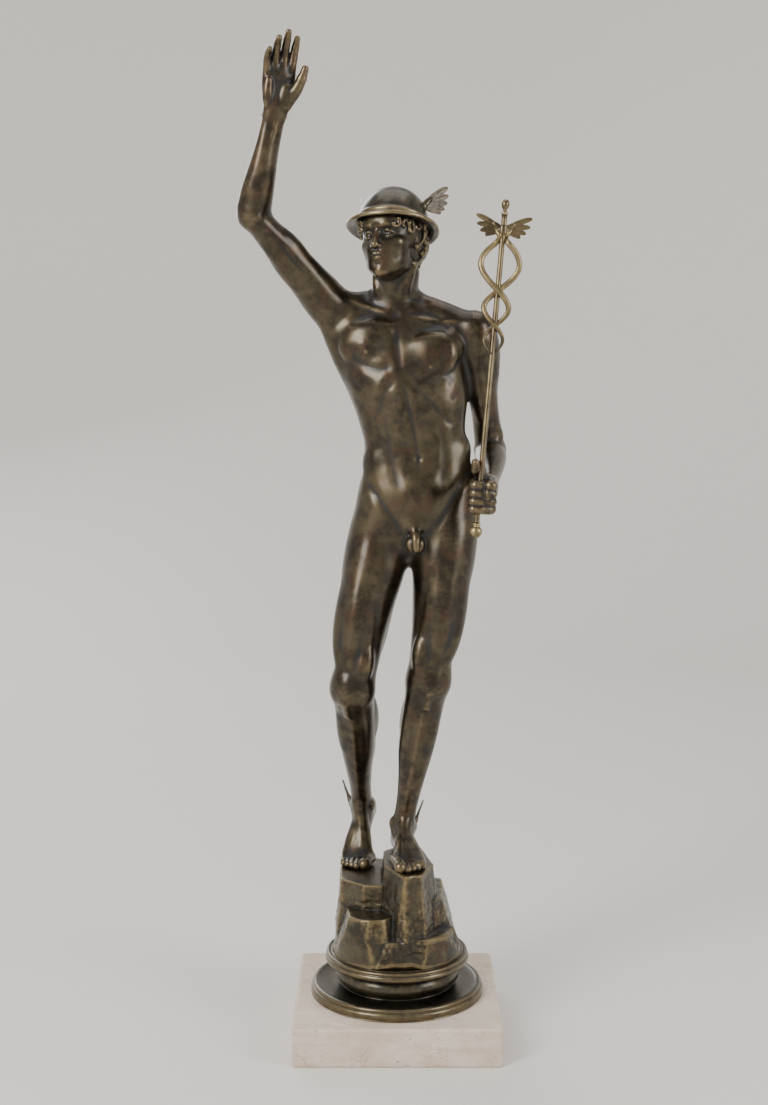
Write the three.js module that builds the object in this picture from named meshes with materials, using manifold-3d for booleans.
// A cast bronze statuette of Mercury as a herald: a nude youth in a winged cap who stands on his left
// leg on a rocky mound, his right hand raised in greeting and a caduceus upright in his left hand.
// The mound stands on a turned bronze base, and the base on a square stone plinth.
// Millimetres, +Z up. The origin is the centre of the plinth's underside, and the figure faces -Y.

import * as THREE from "three";
import { mergeVertices } from "three/addons/utils/BufferGeometryUtils.js";
import Module from "manifold-3d";

const wasm = await Module();
wasm.setup();

// Driving dimensions
const PLINTH_WIDTH = 175;
const PLINTH_HEIGHT = 33;
const PLINTH_EDGE = 1.2; // the worn edge, as a bevel
const BASE_RADIUS = 75;
const UPPER_DISC_RADIUS = 62.5;
const BASE_HEIGHT = 37.5;
const MOUND_HEIGHT = 78.9;
const STATURE = 572; // sole to crown of the figure, standing straight
const STAFF_RADIUS = 2.3;
const STAFF_BELOW_FIST = 31;
const STAFF_ABOVE_FIST = 240;
const FIT_GAP = 0.3; // clearance where two separate castings meet

const BASE_Z = PLINTH_HEIGHT + FIT_GAP;
const MOUND_Z = BASE_Z + BASE_HEIGHT + FIT_GAP;
const SOLE_Z = MOUND_Z + MOUND_HEIGHT + FIT_GAP;
const PERCENT = STATURE / 100; // the figure's own unit

const vec = (x, y, z) => new THREE.Vector3(x, y, z);
const unit = (x, y, z) => vec(x, y, z).normalize();
const along = (from, direction, length) => from.clone().addScaledVector(direction, length);
const scaled = (...percents) => percents.map((value) => value * PERCENT);
// A point of the figure, in percent of its stature from where it stands, a little behind the axis.
const STANCE_Y = 5;
const at = (x, y, z) => vec(x * PERCENT, STANCE_Y + y * PERCENT, SOLE_Z + z * PERCENT);
// The part of a direction that is square to another one.
const squareTo = (direction, way) => direction.clone().addScaledVector(way, -direction.dot(way)).normalize();

const LEFT = vec(1, 0, 0); // the figure's own left is the viewer's right
const RIGHT = vec(-1, 0, 0);
const BACK = vec(0, 1, 0);
const UP = vec(0, 0, 1);

// Closed meshes as solids, and solids as geometry

function flipped(index) {
  return index.map((_, i) => index[i - (i % 3) + (2 - (i % 3))]);
}

function rawSolid(geometry) {
  const bare = new THREE.BufferGeometry().setAttribute("position", geometry.getAttribute("position"));
  if (geometry.index) bare.setIndex(geometry.index);
  const merged = mergeVertices(bare, 1e-3);
  return new wasm.Manifold(
    new wasm.Mesh({
      numProp: 3,
      vertProperties: new Float32Array(merged.attributes.position.array),
      triVerts: new Uint32Array(merged.index.array),
    }),
  );
}

// Solid whose faces point out, whichever way round the geometry's triangles run.
function solidOf(geometry) {
  const solid = rawSolid(geometry);
  if (solid.volume() > 0) return solid;
  return rawSolid(geometry.clone().setIndex(flipped([...geometry.index.array])));
}

function geometryOf(solid) {
  const mesh = solid.getMesh();
  const geometry = new THREE.BufferGeometry();
  geometry.setAttribute("position", new THREE.BufferAttribute(mesh.vertProperties, 3));
  geometry.setIndex(new THREE.BufferAttribute(mesh.triVerts, 1));
  geometry.computeVertexNormals();
  return geometry;
}

const union = (solids) => solids.reduce((whole, next) => whole.add(next));

// Closed surface through rings with the same number of points, with a point at each end.
function skin(rings, start, end) {
  const sides = rings[0].length;
  const points = [start, ...rings.flat(), end];
  const last = points.length - 1;
  const ring = (r, i) => 1 + r * sides + (i % sides);
  const index = [];
  for (let i = 0; i < sides; i++) {
    index.push(0, ring(0, i + 1), ring(0, i));
    index.push(last, ring(rings.length - 1, i), ring(rings.length - 1, i + 1));
    for (let r = 0; r + 1 < rings.length; r++) {
      index.push(ring(r, i), ring(r, i + 1), ring(r + 1, i));
      index.push(ring(r, i + 1), ring(r + 1, i + 1), ring(r + 1, i));
    }
  }
  return solidOf(new THREE.BufferGeometry().setFromPoints(points).setIndex(index));
}

// Ring of four quarter ellipses round a centre. Radii in millimetres: front, back, outer, inner.
function section(centre, front, outer, radii, sides, swell = () => 1) {
  return Array.from({ length: sides }, (_, i) => {
    const turn = (2 * Math.PI * i) / sides;
    const [c, s] = [Math.cos(turn), Math.sin(turn)];
    return centre
      .clone()
      .addScaledVector(front, s * (s > 0 ? radii[0] : radii[1]) * swell(turn))
      .addScaledVector(outer, c * (c > 0 ? radii[2] : radii[3]) * swell(turn));
  });
}

// Limb along its joints. Each row is a place, where 0 is the first joint and 1 the second, and then
// the front, back, outer and inner radius in percent of stature. Sections are mitred at a joint.
const MITRE = 0.1; // a section nearer to a joint than this share of a bone halves its angle
function limb(rows, joints, frontHint, outerHint, sides) {
  const bones = joints.slice(1).map((joint, i) => joint.clone().sub(joints[i]));
  const hand = Math.sign(squareTo(frontHint(0), bones[0]).cross(bones[0]).dot(outerHint));
  const rings = rows.map(([place, ...radii]) => {
    const bone = THREE.MathUtils.clamp(Math.floor(place), 0, bones.length - 1);
    const near = Math.round(place);
    const way = bones[bone].clone().normalize();
    if (near > 0 && near < bones.length && Math.abs(place - near) < MITRE) {
      way.add(bones[near - (bone === near ? 1 : 0)].clone().normalize()).normalize();
    }
    const front = squareTo(frontHint(place), way);
    const outer = front.clone().cross(way).multiplyScalar(hand);
    const centre = along(joints[bone], bones[bone], place - bone);
    return section(centre, front, outer, scaled(...radii), sides);
  });
  const middle = (ring) => ring.reduce((sum, point) => sum.add(point), vec(0, 0, 0)).divideScalar(sides);
  const cap = 0.7 * PERCENT;
  return skin(
    rings,
    along(middle(rings[0]), bones[0].clone().normalize(), -cap),
    along(middle(rings.at(-1)), bones.at(-1).clone().normalize(), cap),
  );
}

// Round bar through points, each with its own radius in percent of stature, with blunt ends.
function bar(points, radii, sides = 6) {
  const last = points.length - 1;
  const wayAt = (i) => points[Math.min(i + 1, last)].clone().sub(points[Math.max(i - 1, 0)]).normalize();
  let across = Math.abs(wayAt(0).z) > 0.8 ? LEFT : UP;
  const rings = points.map((point, i) => {
    const way = wayAt(i);
    across = squareTo(across, way);
    return section(point, across, way.clone().cross(across), scaled(...Array(4).fill(radii[i])), sides);
  });
  const blunt = 0.7 * PERCENT;
  return skin(
    rings,
    along(points[0], wayAt(0), -blunt * radii[0]),
    along(points[last], wayAt(last), blunt * radii[last]),
  );
}

// Ellipsoid whose radii are in percent of stature, along its own three axes.
function lump(centre, radii, axes = [LEFT, BACK, UP], detail = 7) {
  const ball = new THREE.SphereGeometry(1, detail + 2, detail - 2);
  const spokes = axes.map((axis, i) => axis.clone().multiplyScalar(radii[i] * PERCENT));
  ball.applyMatrix4(new THREE.Matrix4().makeBasis(...spokes).setPosition(centre));
  return solidOf(ball);
}

// Solid of revolution about an axis through a point. Its profile lists radius and height.
function turned(profile, origin, axis, sides) {
  const lathe = new THREE.LatheGeometry(profile.map(([r, h]) => new THREE.Vector2(r, h)), sides);
  const across = squareTo(Math.abs(axis.x) < 0.9 ? LEFT : BACK, axis);
  const matrix = new THREE.Matrix4().makeBasis(across, axis, across.clone().cross(axis));
  lathe.applyMatrix4(matrix.setPosition(origin));
  return solidOf(lathe);
}

// Wing: a thin plate whose far edge is scalloped into feather tips, over a rounded root. It fans from
// the lead direction towards the trail direction, and its feathers get shorter that way.
const WING_SPREAD = 1.15; // radians between the first and the last feather
const FEATHER_EDGE = [
  [0.05, 0.82],
  [0.4, 1],
  [0.85, 0.93],
]; // place across a feather, and reach as a share of its length
function wing(root, lead, trail, size, feathers) {
  const flat = lead.clone().cross(trail).normalize();
  const across = flat.clone().cross(lead);
  const outline = [vec(-0.16, -0.1, 0)];
  for (let i = 0; i < feathers; i++) {
    const length = 1 - (0.42 * i) / (feathers - 1);
    for (const [place, reach] of FEATHER_EDGE) {
      const angle = ((i + place) * WING_SPREAD) / feathers - 0.12;
      outline.push(vec(Math.cos(angle), Math.sin(angle), 0).multiplyScalar(length * reach));
    }
  }
  outline.push(vec(-0.08, 0.2, 0));
  const shape = new THREE.Shape(outline.map(({ x, y }) => new THREE.Vector2(x * size, y * size)));
  const thick = 0.1 * size;
  const plate = new THREE.ExtrudeGeometry(shape, { depth: thick, bevelEnabled: false });
  plate.translate(0, 0, -thick / 2);
  plate.applyMatrix4(new THREE.Matrix4().makeBasis(lead, across, flat).setPosition(root));
  const arm = [0.26, 0.16, 0.13].map((share) => (share * size) / PERCENT);
  return [solidOf(rebuilt(plate)), lump(root, arm, [lead, across, flat], 6)];
}

// The same triangles with an index, so that they can be turned round.
function rebuilt(geometry) {
  const bare = new THREE.BufferGeometry().setAttribute("position", geometry.getAttribute("position"));
  return mergeVertices(bare, 1e-3);
}

// Skeleton, in percent of stature. The weight is on the left leg, so that hip is the higher one.
const THIGH = 24.5;
const SHANK = 24.6;
const UPPER_ARM = 18.6;
const FOREARM = 14.6;

// Middle joint of a limb of two bones, bent towards the pole direction.
function bend(a, b, upper, lower, pole) {
  const span = b.clone().sub(a);
  const reach = span.length() / PERCENT;
  const way = span.normalize();
  const foot = (upper * upper - lower * lower + reach * reach) / (2 * reach);
  const rise = Math.sqrt(Math.max(upper * upper - foot * foot, 0));
  return along(along(a, way, foot * PERCENT), squareTo(pole, way), rise * PERCENT);
}

const hips = { left: at(7.6, 0.4, 52.0), right: at(-2.4, 1.2, 50.5) };
const ankles = { left: at(0.9, 2.6, 4.0), right: at(-5.4, 10.0, 5.2) };
const toeJoints = { left: at(1.8, -4.6, 1.08), right: at(-6.2, 5.3, -1.15) };
const LEDGE_DROP = 2.7; // the ledge under the right toes, below the mound's top
const toeFloors = { left: at(0, 0, 0), right: at(0, 0, -LEDGE_DROP) };
const toeWays = { left: unit(0.14, -1, 0), right: unit(-0.2, -1, 0) };
const kneeWays = { left: unit(0.1, -1, 0), right: unit(-0.34, -1, 0) };
const outers = { left: LEFT, right: RIGHT };
const knees = {};
for (const side of ["left", "right"]) {
  knees[side] = bend(hips[side], ankles[side], THIGH, SHANK, kneeWays[side]);
}

const shoulders = { left: at(11.3, 0.6, 78.9), right: at(-9.6, 2.4, 82.6) };
const upperArmWays = { left: unit(0.15, 0.3, -0.945), right: unit(-0.6, -0.35, 0.72) };
const forearmWays = { left: unit(-0.06, -0.95, -0.3), right: unit(0.25, -0.2, 0.945) };
const handWays = { left: unit(-0.12, -0.97, -0.2), right: unit(0.1, -0.1, 0.99) };
const palmWays = { left: unit(-1, 0.12, 0.05), right: unit(0.3, -0.95, -0.1) };
const thumbWays = { left: squareTo(UP, handWays.left), right: squareTo(LEFT, handWays.right) };
const elbows = {};
const wrists = {};
for (const side of ["left", "right"]) {
  elbows[side] = along(shoulders[side], upperArmWays[side], UPPER_ARM * PERCENT);
  wrists[side] = along(elbows[side], forearmWays[side], FOREARM * PERCENT);
  palmWays[side] = squareTo(palmWays[side], handWays[side]);
  thumbWays[side] = squareTo(thumbWays[side], palmWays[side]);
}

const headCentre = at(-0.9, -0.5, 92.6);
const headFront = unit(-0.47, -0.87, 0.12);
const headUp = squareTo(unit(-0.04, 0.1, 1), headFront);
const headSide = headUp.clone().cross(headFront); // towards the figure's left

// The caduceus stands in the left fist, upright and leaning a little outwards and back.
const staffWay = unit(0.09, 0.12, 0.989);
const GRIP_CENTRE = 4.2; // from the wrist, in percent of stature
const PALM_HALF_THICKNESS = 0.9;
const staffGrip = along(
  along(wrists.left, handWays.left, GRIP_CENTRE * PERCENT),
  palmWays.left,
  PALM_HALF_THICKNESS * PERCENT + STAFF_RADIUS,
);

// Trunk: height, centre across and back, then front, back, left and right radius.
const TRUNK_ROWS = [
  [46.6, 2.6, 0.8, 2.8, 3.4, 3.8, 3.8],
  [48.8, 2.7, 0.8, 4.6, 6.2, 7.8, 7.6],
  [52.0, 2.7, 0.8, 5.6, 6.6, 9.7, 9.6],
  [55.5, 2.8, 0.8, 5.9, 6.2, 9.5, 9.4],
  [59.0, 2.9, 0.8, 5.6, 5.3, 8.3, 8.5],
  [62.5, 2.8, 0.8, 5.3, 4.9, 7.4, 7.7],
  [66.0, 2.3, 0.8, 5.6, 5.1, 7.8, 8.1],
  [70.0, 1.7, 0.9, 6.1, 5.6, 8.7, 9.0],
  [73.5, 1.1, 1.2, 6.4, 6.0, 9.3, 9.5],
  [77.0, 0.6, 1.6, 6.0, 6.3, 9.9, 9.9],
  [80.0, 0.3, 2.0, 5.0, 5.8, 9.9, 9.6],
  [82.2, 0.1, 2.2, 3.9, 4.6, 7.9, 7.7],
  [84.4, -0.2, 2.3, 3.0, 3.4, 3.9, 3.9],
];
// Muscle that swells the trunk: height, angle from the figure's left, share, and its reach each way.
const TRUNK_SWELLS = [
  { height: 75, angle: 60, share: 0.13, reach: 3.2, spread: 26 },
  { height: 75.6, angle: 120, share: 0.13, reach: 3.2, spread: 26 },
  { height: 51.5, angle: -58, share: 0.16, reach: 4, spread: 28 },
  { height: 50.5, angle: -122, share: 0.16, reach: 4, spread: 28 },
];
const TRUNK_SIDES = 20;
const HIP_TILT = 9; // degrees, left hip up
const SHOULDER_TILT = -9;
const HIP_TURN = 5; // degrees about the vertical
const SHOULDER_TURN = -8;

function trunk() {
  const [low, high] = [TRUNK_ROWS[0][0], TRUNK_ROWS.at(-1)[0]];
  const rings = TRUNK_ROWS.map(([height, x, y, ...radii]) => {
    const share = THREE.MathUtils.smoothstep(height, low + 6, high - 7);
    const tilt = THREE.MathUtils.degToRad(THREE.MathUtils.lerp(HIP_TILT, SHOULDER_TILT, share));
    const turn = THREE.MathUtils.degToRad(THREE.MathUtils.lerp(HIP_TURN, SHOULDER_TURN, share));
    const left = vec(Math.cos(tilt) * Math.cos(turn), Math.sin(turn), Math.sin(tilt));
    const front = vec(Math.sin(turn), -Math.cos(turn), 0);
    const swell = (around) => {
      const degrees = THREE.MathUtils.radToDeg(around);
      return TRUNK_SWELLS.reduce((sum, { height: middle, angle, share: most, reach, spread }) => {
        const off = ((((degrees - angle) % 360) + 540) % 360) - 180;
        return sum + most * Math.exp(-((off / spread) ** 2) - ((height - middle) / reach) ** 2);
      }, 1);
    };
    return section(at(x, y, height), front, left, scaled(...radii), TRUNK_SIDES, swell);
  });
  const [bottom, top] = [TRUNK_ROWS[0], TRUNK_ROWS.at(-1)];
  return skin(rings, at(bottom[1], bottom[2], low - 0.8), at(top[1], top[2], high + 0.4));
}

const LEG_ROWS = [
  [-0.14, 3.0, 3.6, 2.6, 2.2],
  [0.02, 4.9, 5.5, 4.7, 4.1],
  [0.22, 5.6, 5.3, 5.1, 4.9],
  [0.42, 5.3, 4.7, 4.7, 4.5],
  [0.64, 4.7, 4.0, 4.0, 3.8],
  [0.84, 3.8, 3.4, 3.4, 3.5],
  [1.0, 3.5, 3.0, 3.2, 3.3],
  [1.15, 2.7, 3.6, 3.1, 3.2],
  [1.32, 2.5, 4.2, 3.2, 3.4],
  [1.48, 2.4, 3.7, 2.9, 3.0],
  [1.66, 2.2, 2.6, 2.2, 2.1],
  [1.84, 1.7, 1.95, 1.75, 1.7],
  [2.0, 1.7, 2.0, 1.9, 1.9],
];
const LEG_SIDES = 12;

// Foot: rows from the toe joint to the heel, each with its place behind the joint, the height of its
// centre over it, and its radius up, down, outwards and inwards. The heel may be raised.
const FOOT_ROWS = [
  [-1.1, -0.1, 0.85, 0.95, 2.3, 2.3],
  [0.4, 0.1, 1.2, 1.15, 2.45, 2.5],
  [2.2, 0.4, 1.7, 1.45, 2.2, 2.3],
  [4.2, 0.9, 2.3, 1.9, 1.9, 2.0],
  [6.2, 1.2, 2.9, 2.3, 1.75, 1.8],
  [8.2, 1.1, 2.4, 2.3, 1.75, 1.75],
  [9.8, 0.8, 1.5, 1.8, 1.4, 1.4],
];
const FLAT_SLOPE = 0.37; // radians from the toe joint up to the ankle in a flat foot
const TOES = [
  { place: -2.0, radius: 1.05, length: 3.6 },
  { place: -0.9, radius: 0.7, length: 3.5 },
  { place: 0.0, radius: 0.66, length: 3.1 },
  { place: 0.95, radius: 0.62, length: 2.7 },
  { place: 1.85, radius: 0.6, length: 2.2 },
];
function foot(side) {
  const [ankle, joint, toeWay] = [ankles[side], toeJoints[side], toeWays[side]];
  const rise = ankle.clone().sub(joint);
  const across = squareTo(outers[side], toeWay);
  const lift = Math.atan2(rise.z, Math.hypot(rise.x, rise.y)) - FLAT_SLOPE;
  const back = toeWay.clone().multiplyScalar(-Math.cos(lift)).addScaledVector(UP, Math.sin(lift));
  const up = toeWay.clone().multiplyScalar(Math.sin(lift)).addScaledVector(UP, Math.cos(lift));
  const place = (behind, high) => along(along(joint, back, behind * PERCENT), up, high * PERCENT);
  const rings = FOOT_ROWS.map(([behind, high, ...radii]) =>
    section(place(behind, high), up, across, scaled(...radii), 10),
  );
  const toes = TOES.map(({ place: outwards, radius, length }) => {
    const root = along(along(joint, across, outwards * PERCENT), toeWay, -0.4 * PERCENT);
    root.z = toeFloors[side].z + radius * PERCENT;
    const knuckle = along(along(root, toeWay, 0.55 * length * PERCENT), UP, 0.25 * radius * PERCENT);
    return bar([root, knuckle, along(root, toeWay, length * PERCENT)], [radius, radius, 0.85 * radius], 5);
  });
  const instep = lump(along(ankle, back, -0.5 * PERCENT), [2.05, 2.9, 2.1], [across, back, up], 8);
  return [skin(rings, place(-1.9, -0.2), place(10.7, 0.7)), instep, ...toes];
}

// Small wing behind the outer ankle bone.
const ANKLE_WING = 4.4;
function ankleWing(side) {
  const root = along(along(ankles[side], outers[side], 1.7 * PERCENT), BACK, 0.8 * PERCENT);
  const lead = outers[side].clone().multiplyScalar(0.35).add(vec(0, 0.45, 0.85)).normalize();
  const trail = outers[side].clone().multiplyScalar(0.2).add(vec(0, 0.95, 0.1)).normalize();
  return wing(root, lead, trail, ANKLE_WING * PERCENT, 4);
}

const ARM_ROWS = [
  [-0.06, 2.8, 2.8, 2.9, 2.6],
  [0.06, 3.3, 3.3, 3.5, 2.9],
  [0.22, 3.2, 3.2, 3.4, 2.8],
  [0.45, 3.0, 3.0, 2.6, 2.5],
  [0.68, 2.6, 2.75, 2.35, 2.3],
  [0.84, 2.3, 2.4, 2.4, 2.4],
  [1.0, 2.3, 2.3, 2.4, 2.4],
  [1.2, 2.4, 2.3, 2.6, 2.6],
  [1.45, 2.1, 2.0, 2.35, 2.3],
  [1.7, 1.5, 1.5, 1.9, 1.9],
  [2.0, 1.2, 1.2, 1.7, 1.7],
];
const ARM_SIDES = 10;

// Muscle that ties an arm to the trunk: over the collar bone, from the ribs up under the arm, and
// round the shoulder.
function girdle(side) {
  const turn = outers[side].x;
  const way = upperArmWays[side];
  const onArm = along(shoulders[side], way, 3 * PERCENT);
  const across = squareTo(BACK, way);
  const axes = [across, way.clone().cross(across), way];
  return [
    bar([at(-0.2, 2.2, 82.2), at(-0.2 + 5 * turn, 2.1, 81.6), shoulders[side]], [2.4, 2.9, 3.2], 10),
    bar([at(1.4 + 5.6 * turn, 1.6, 70), at(0.8 + 8.2 * turn, 2, 76), onArm], [2.2, 2.8, 2.1], 8),
    lump(along(shoulders[side], way, 1.3 * PERCENT), [3.3, 3.3, 4.5], axes, 10),
  ];
}

function arm(side) {
  // The front of an arm is the inside of its elbow, which turns towards the palm at the wrist.
  const hint = (place) => {
    if (place < 1) return forearmWays[side];
    const crook = upperArmWays[side].clone().negate();
    return squareTo(crook, forearmWays[side]).lerp(palmWays[side], THREE.MathUtils.smoothstep(place, 1.1, 2));
  };
  return [
    limb(ARM_ROWS, [shoulders[side], elbows[side], wrists[side]], hint, outers[side], ARM_SIDES),
    ...girdle(side),
  ];
}

// Hands: a palm, four fingers from the index outwards, and a thumb.
const PALM_LENGTH = 5.2;
const PALM_ROWS = [
  [-0.1, 1.2, 1.2, 1.7, 1.7],
  [0.15, 1.25, 1.0, 1.9, 1.9],
  [0.5, 1.25, 0.95, 2.4, 2.3],
  [0.85, 0.95, 0.85, 2.5, 2.3],
  [1.0, 0.75, 0.7, 2.4, 2.2],
];
const FINGERS = [
  { place: 1.75, reach: 5.0, length: 4.9, curl: 0.1 },
  { place: 0.6, reach: 5.2, length: 5.5, curl: 0.2 },
  { place: -0.55, reach: 5.0, length: 5.1, curl: 0.36 },
  { place: -1.65, reach: 4.6, length: 4.1, curl: 0.46 },
];
const PHALANX_SHARES = [0.46, 0.3, 0.24];
const FINGER_RADII = [0.72, 0.72, 0.66, 0.6, 0.48];

function palm(side) {
  const end = along(wrists[side], handWays[side], PALM_LENGTH * PERCENT);
  return limb(PALM_ROWS, [wrists[side], end], () => palmWays[side], thumbWays[side], ARM_SIDES);
}

// A point of a hand: along it, towards the thumb, and towards the side the palm faces, in percent.
function onHand(side, length, thumbwards, palmwards) {
  const point = along(wrists[side], handWays[side], length * PERCENT);
  return along(along(point, thumbWays[side], thumbwards * PERCENT), palmWays[side], palmwards * PERCENT);
}

function openHand(side) {
  const fingers = FINGERS.map(({ place, reach, length, curl }) => {
    const fan = along(handWays[side], thumbWays[side], 0.05 * place - 0.02).normalize();
    const knuckle = onHand(side, reach, place, 0);
    const points = [along(knuckle, fan, -0.5 * PERCENT), knuckle];
    PHALANX_SHARES.forEach((share, i) => {
      const angle = curl * (0.35 + i);
      const step = fan.clone().multiplyScalar(Math.cos(angle)).addScaledVector(palmWays[side], Math.sin(angle));
      points.push(along(points.at(-1), step, share * length * PERCENT));
    });
    return bar(points, FINGER_RADII);
  });
  const thumb = [onHand(side, 0.9, 1, 0.5), onHand(side, 2.8, 2.5, 1.1), onHand(side, 4.5, 3.1, 1.4)];
  thumb.push(onHand(side, 6.0, 3.4, 1.7));
  return [palm(side), ...fingers, bar(thumb, [1.1, 0.85, 0.7, 0.54])];
}

// Fist round the staff: each finger follows an arc about the staff's line.
const GRIP_STEPS = 5;
const GRIP_START = -0.55 * Math.PI;
const GRIP_TURN = 1.5 * Math.PI;
const GRIP_FINGER = 0.56;
function fist(side) {
  const reach = STAFF_RADIUS + FIT_GAP + 0.9 * GRIP_FINGER * PERCENT;
  const fingers = FINGERS.map(({ place }) => {
    const centre = along(staffGrip, staffWay, place * PERCENT);
    const arc = Array.from({ length: GRIP_STEPS + 1 }, (_, k) => {
      const angle = GRIP_START + (GRIP_TURN * k) / GRIP_STEPS;
      const spoke = handWays[side].clone().multiplyScalar(Math.cos(angle));
      return along(centre, spoke.addScaledVector(palmWays[side], Math.sin(angle)), reach);
    });
    return bar([onHand(side, 3.4, place, 0), ...arc], [0.7, ...Array(GRIP_STEPS).fill(GRIP_FINGER), 0.45]);
  });
  const thumb = [onHand(side, 0.8, 1.3, 0.3), onHand(side, 2.2, 2.1, 1.9), onHand(side, 3.6, 1.5, 3.1)];
  thumb.push(onHand(side, 4.8, 0.6, 3.2));
  return [palm(side), ...fingers, bar(thumb, [1.0, 0.8, 0.68, 0.5])];
}

// Head: rows from under the chin to the crown, each with its height from the head's centre, how far
// forward its centre is, and its radius front, back and to each side.
const HEAD_ROWS = [
  [-6.4, 2.4, 1.3, 2.0, 1.5],
  [-5.6, 2.2, 2.0, 2.8, 2.2],
  [-4.2, 1.5, 3.0, 4.4, 3.2],
  [-2.4, 0.9, 3.8, 5.3, 4.0],
  [-0.4, 0.4, 4.4, 5.8, 4.4],
  [1.8, 0.0, 4.9, 6.0, 4.6],
  [4.0, -0.2, 4.2, 5.2, 4.0],
];
const NECK_ROWS = [
  [0.0, 3.0, 3.3, 3.8, 3.8],
  [0.4, 3.1, 3.1, 3.2, 3.2],
  [1.0, 3.2, 3.0, 3.1, 3.1],
];
// Cap with a round bowl and a turned-down brim, worn tipped a little forward.
const CAP_RADIUS = 5.1;
const BRIM_RADIUS = 6.7;
const CAP_HEIGHT = 5.7;
const CAP_WING = 5.0;
const CAP_PROFILE = [
  [0, -0.3],
  [CAP_RADIUS, -0.3],
  [BRIM_RADIUS - 0.3, -0.75],
  [BRIM_RADIUS, -0.5],
  [BRIM_RADIUS - 0.1, -0.15],
  [CAP_RADIUS + 0.35, 0.35],
  ...[8, 27, 46, 65].map((degrees) => {
    const angle = THREE.MathUtils.degToRad(degrees);
    return [CAP_RADIUS * Math.cos(angle), 0.5 + (CAP_HEIGHT - 0.5) * Math.sin(angle)];
  }),
  [0, CAP_HEIGHT],
];
function head() {
  const place = (forward, up) => along(along(headCentre, headFront, forward * PERCENT), headUp, up * PERCENT);
  const rings = HEAD_ROWS.map(([height, forward, front, back, wide]) =>
    section(place(forward, height), headFront, headSide, scaled(front, back, wide, wide), 14),
  );
  const capUp = along(headUp, headFront, -0.22).normalize();
  const capFront = squareTo(headFront, capUp);
  const capSeat = place(-0.5, 1.9);
  const profile = CAP_PROFILE.map(([r, h]) => [r * PERCENT, h * PERCENT]);
  const wings = [1, -1].flatMap((turn) => {
    const out = headSide.clone().multiplyScalar(turn);
    const root = along(along(capSeat, out, 4.7 * PERCENT), capUp, 2.4 * PERCENT);
    const lead = along(along(capUp, out, 0.55), capFront, -0.45).normalize();
    const trail = along(along(out, capFront, -1.4), capUp, -0.25).normalize();
    return wing(root, lead, trail, CAP_WING * PERCENT, 5);
  });
  const nose = bar([place(4.7, 0.6), place(5.3, -1.5)], [0.55, 0.75], 5);
  return [skin(rings, place(2.2, -7.0), place(-0.2, 5.2)), nose, turned(profile, capSeat, capUp, 16), ...wings];
}

function figure() {
  const parts = [
    trunk(),
    ...["left", "right"].flatMap((side) => [
      limb(LEG_ROWS, [hips[side], knees[side], ankles[side]], () => kneeWays[side], outers[side], LEG_SIDES),
      ...foot(side),
      ...ankleWing(side),
      ...arm(side),
    ]),
    lump(at(2.6, -3.6, 48.9), [1.5, 1.5, 2.0]),
    ...openHand("right"),
    ...fist("left"),
    limb(NECK_ROWS, [at(-0.1, 2.2, 82), at(-0.7, 0.9, 89)], () => headFront, LEFT, 12),
    ...head(),
  ];
  const bore = STAFF_RADIUS + FIT_GAP;
  const boreLength = 80;
  const hole = [
    [0, 0],
    [bore, 0],
    [bore, boreLength],
    [0, boreLength],
  ];
  return union(parts).subtract(turned(hole, along(staffGrip, staffWay, -boreLength / 2), staffWay, 8));
}

// Caduceus: a rod with a knob at its foot, two snakes that pass each other in front of it and behind
// it, in loops that widen upwards, and a pair of wings below the finial.
const SNAKE_RADIUS = 2.3;
const SNAKE_OFFSET = 2.3; // from the rod's line to a snake's, where they cross
const LOOPS = [
  { height: 24, half: 7.5 },
  { height: 28, half: 10 },
  { height: 43, half: 15.5 },
];
const LOOP_STEPS = 5;
const STAFF_WING = 24;
const WINGS_BELOW_TOP = 25;
const SNAKES_BELOW_TOP = 31;
function caduceus() {
  const height = STAFF_BELOW_FIST + STAFF_ABOVE_FIST;
  const foot = along(staffGrip, staffWay, -STAFF_BELOW_FIST);
  const across = squareTo(LEFT, staffWay);
  const behind = staffWay.clone().cross(across);
  const place = (up, side, back) => along(along(along(foot, staffWay, up), across, side), behind, back);
  const profile = [
    [0, -3],
    [3.6, -1.2],
    [5.2, 2.2],
    [4.4, 5.8],
    [3.0, 7.4],
    [3.3, 8.8],
    [STAFF_RADIUS, 10],
    [STAFF_RADIUS, height - 11],
    [1.8, height - 8],
    [3.3, height - 4],
    [2.4, height - 0.8],
    [0, height],
  ];
  const top = height - SNAKES_BELOW_TOP;
  const snakes = [1, -1].map((turn) => {
    let low = top - LOOPS.reduce((sum, loop) => sum + loop.height, 0);
    const points = LOOPS.flatMap((loop, k) => {
      const way = k % 2 ? -turn : turn;
      const start = low;
      low += loop.height;
      return Array.from({ length: LOOP_STEPS }, (_, i) => {
        const angle = (Math.PI * i) / LOOP_STEPS;
        const up = start + (loop.height * i) / LOOP_STEPS;
        return place(up, Math.sin(angle) * loop.half * way, Math.cos(angle) * SNAKE_OFFSET * way);
      });
    });
    points.push(place(top, 2 * turn, 0));
    return bar(points, points.map((_, i) => (SNAKE_RADIUS / PERCENT) * Math.min(0.6 + 0.1 * i, 1)));
  });
  const wings = [1, -1].flatMap((turn) => {
    const lead = place(0.6, 0.8 * turn, 0).sub(foot).normalize();
    const trail = place(-0.66, 0.75 * turn, 0).sub(foot).normalize();
    return wing(place(height - WINGS_BELOW_TOP, 1.5 * turn, 0), lead, trail, STAFF_WING, 4);
  });
  return union([turned(profile, foot, staffWay, 8), ...snakes, ...wings]);
}

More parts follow.
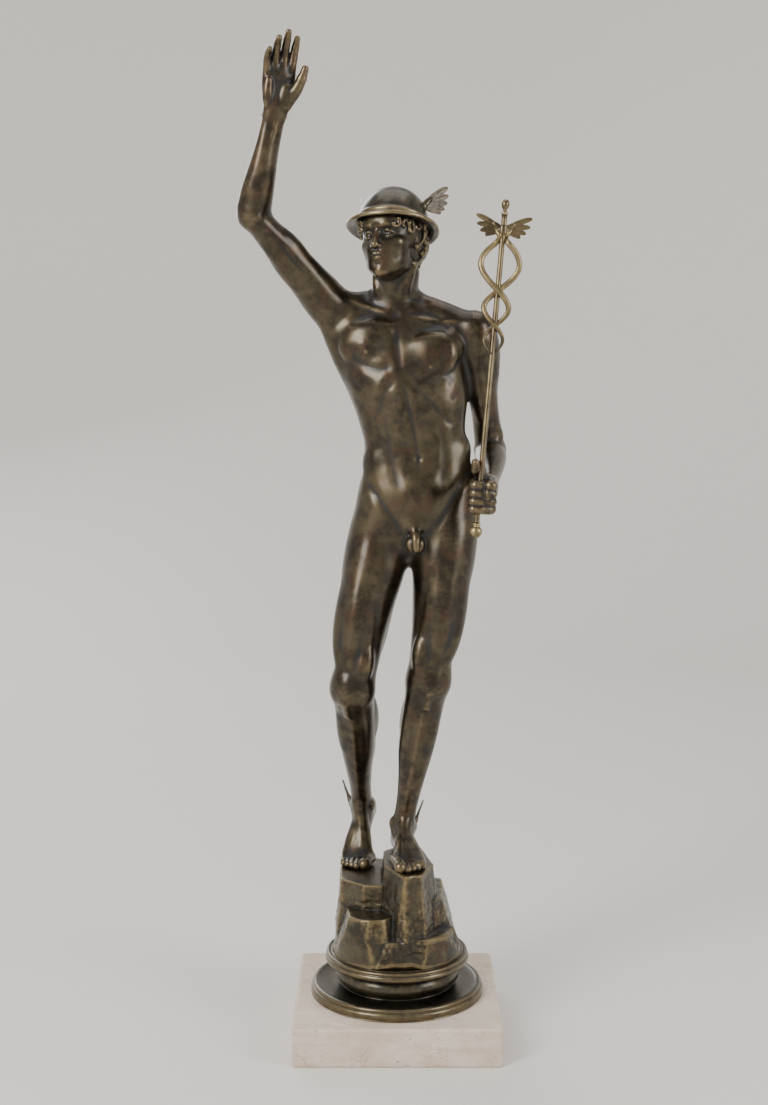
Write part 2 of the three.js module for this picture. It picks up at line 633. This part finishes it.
// Mound: rough-hewn boulders grown into one. Each is cut by level and by steep flat faces all round,
// and the surface is the farthest boulder in each direction from a point inside them all.
const MOUND_HEART = 22; // height of that point above the mound's foot
const BOULDERS = [
  { x: 9, y: -1, top: MOUND_HEIGHT, halfX: 30, halfY: 51, batter: 0.14, sides: 9, phase: 0.2 },
  { x: -19, y: 14, top: MOUND_HEIGHT - LEDGE_DROP * PERCENT, halfX: 37, halfY: 40, batter: 0.1, sides: 8, phase: 0.7 },
  { x: -22, y: -19, top: 42, halfX: 33, halfY: 35, batter: 0.26, sides: 7, phase: 0.4 },
  { x: 26, y: 9, top: 52, halfX: 29, halfY: 40, batter: 0.26, sides: 7, phase: 1.1 },
  { x: 22, y: -25, top: 25, halfX: 32, halfY: 29, batter: 0.3, sides: 7, phase: 0.8 },
  { x: 0, y: 0, top: 12, halfX: 55, halfY: 54, batter: 0.5, sides: 11, phase: 0.1 },
];
const MOUND_SIDES = 32;
const MOUND_RINGS = 12;

// Distance from the heart to a boulder's skin along a direction.
function boulderReach({ x, y, top, halfX, halfY, batter, sides, phase }, way) {
  const heart = vec(-x, -y, MOUND_HEART);
  let reach = way.z > 0 ? (top - MOUND_HEART) / way.z : Infinity;
  for (let i = 0; i < sides; i++) {
    const angle = phase + (2 * Math.PI * (i + 0.25 * Math.sin(5 * i))) / sides;
    // Steeper in front and behind, where the long foot needs room
    const lean = batter * (0.25 + 0.75 * Math.cos(angle) ** 2) * (1 + 0.4 * Math.sin(3 * i + phase));
    const face = unit(Math.cos(angle), Math.sin(angle), lean);
    const half = Math.hypot(halfX * Math.cos(angle), halfY * Math.sin(angle));
    const offset = half * Math.hypot(face.x, face.y) - face.dot(heart);
    if (way.dot(face) > 0) reach = Math.min(reach, offset / way.dot(face));
  }
  return reach;
}

function mound() {
  const heart = vec(0, 0, MOUND_Z + MOUND_HEART);
  const rings = Array.from({ length: MOUND_RINGS }, (_, r) =>
    Array.from({ length: MOUND_SIDES }, (_, i) => {
      const turn = (2 * Math.PI * i) / MOUND_SIDES;
      const pitch = (Math.PI / 2) * (1 - (r + 0.5) / MOUND_RINGS) - 0.5 * (r / MOUND_RINGS);
      const way = unit(Math.cos(turn) * Math.cos(pitch), Math.sin(turn) * Math.cos(pitch), Math.sin(pitch));
      const reach = Math.max(...BOULDERS.map((boulder) => boulderReach(boulder, way)));
      return along(heart, way, reach);
    }),
  );
  const below = MOUND_Z - 5;
  const foot = rings.at(-1).map(({ x, y }) => vec(x * 1.02, y * 1.02, below));
  const rock = skin([...rings, foot], vec(0, 0, MOUND_Z + MOUND_HEIGHT), vec(0, 0, below));
  const room = new THREE.BoxGeometry(4 * BASE_RADIUS, 4 * BASE_RADIUS, MOUND_HEIGHT);
  room.translate(0, 0, MOUND_Z + MOUND_HEIGHT / 2);
  return rock.intersect(solidOf(room));
}

// Turned base: a foot disc with a dished top, a swelling waist and an upper disc.
function base() {
  const profile = [
    [0, 0],
    [BASE_RADIUS - 1, 0],
    [BASE_RADIUS, 1.6],
    [BASE_RADIUS, 5.4],
    [BASE_RADIUS - 1.6, 7.6],
    [BASE_RADIUS - 3.6, 8.2],
    [BASE_RADIUS - 4.6, 10],
    [48.5, 8.4],
    [51.5, 10.4],
    [53.8, 15],
    [54, 20],
    [52, 25.5],
    [UPPER_DISC_RADIUS - 2, 28.4],
    [UPPER_DISC_RADIUS, 30.6],
    [UPPER_DISC_RADIUS - 0.8, 34],
    [UPPER_DISC_RADIUS - 2.6, 34.8],
    [UPPER_DISC_RADIUS - 3.2, BASE_HEIGHT],
    [0, BASE_HEIGHT],
  ];
  return turned(profile, vec(0, 0, BASE_Z), UP, 32);
}

function plinth() {
  const half = PLINTH_WIDTH / 2 - PLINTH_EDGE;
  const corners = [
    [-half, -half],
    [half, -half],
    [half, half],
    [-half, half],
  ];
  const block = new THREE.ExtrudeGeometry(new THREE.Shape(corners.map(([x, y]) => new THREE.Vector2(x, y))), {
    depth: PLINTH_HEIGHT - 2 * PLINTH_EDGE,
    bevelThickness: PLINTH_EDGE,
    bevelSize: PLINTH_EDGE,
    bevelSegments: 1,
  });
  block.translate(0, 0, PLINTH_EDGE);
  return solidOf(rebuilt(block));
}

const bronze = new THREE.MeshStandardMaterial({ color: 0x3a3220, roughness: 0.38, metalness: 1 });
const paleBronze = new THREE.MeshStandardMaterial({ color: 0x4a4634, roughness: 0.42, metalness: 1 });
const darkBronze = new THREE.MeshStandardMaterial({ color: 0x2f2c20, roughness: 0.42, metalness: 1 });
const stone = new THREE.MeshStandardMaterial({ color: 0xc9bbab, roughness: 0.75, metalness: 0 });

const PIECES = [
  ["stone_plinth", plinth, stone],
  ["turned_base", base, darkBronze],
  ["rocky_mound", mound, darkBronze],
  ["figure", figure, bronze],
  ["caduceus", caduceus, paleBronze],
];

const statuette = new THREE.Group();
for (const [name, make, material] of PIECES) {
  const mesh = new THREE.Mesh(geometryOf(make()), material);
  mesh.name = name;
  statuette.add(mesh);
}

export default statuette;
